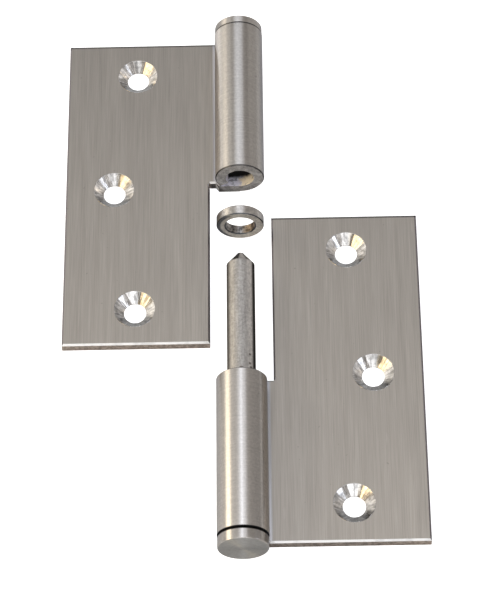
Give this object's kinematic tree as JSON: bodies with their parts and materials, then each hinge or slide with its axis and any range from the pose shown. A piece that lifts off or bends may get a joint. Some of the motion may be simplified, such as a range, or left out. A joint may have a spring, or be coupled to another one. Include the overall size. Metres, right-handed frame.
{
  "type": "lift-off door hinge",
  "caption": "Flat notched leaves with rolled knuckles on a plain pin, with washer, end caps and countersunk screw holes; the door leaf lifts off along the pin.",
  "frame": {"origin": "middle of the spread on the plane that the backs of both leaves lie on, under the pin axis", "axes": "+Z out of the countersunk faces, +Y along the pin from its cap to its tip, the way the door leaf lifts off, +X towards the frame leaf"},
  "size_m": [0.1, 0.1686, 0.014],
  "materials": {
    "leaf_steel": "satin, brushed along the pin",
    "pin_steel": "dull, drawn bar",
    "washer_steel": "dull, turned",
    "cap_steel": "satin, turned"
  },
  "bodies": {
    "frame": {"frame_leaf": "leaf_steel", "bottom_cap": "cap_steel"},
    "pin": {"pin": "pin_steel"},
    "washer": {"washer": "washer_steel"},
    "door": {"door_leaf": "leaf_steel", "top_cap": "cap_steel"}
  },
  "joints": [
    {"name": "turn", "type": "hinge", "parent": "frame", "child": "pin", "pos_m": [0, 0, 0.007], "axis": [0, 1, 0], "range_deg": [0, 180]},
    {"name": "lift", "type": "slide", "parent": "pin", "child": "door", "axis": [0, 1, 0], "range_m": [-0.062, 0]},
    {"name": "washer_lift", "type": "slide", "parent": "pin", "child": "washer", "axis": [0, 1, 0], "range_m": [-0.049, 0]}
  ],
  "couplings": [
    {"joint": "washer_lift", "follows": "lift", "ratio": 0.7903}
  ]
}
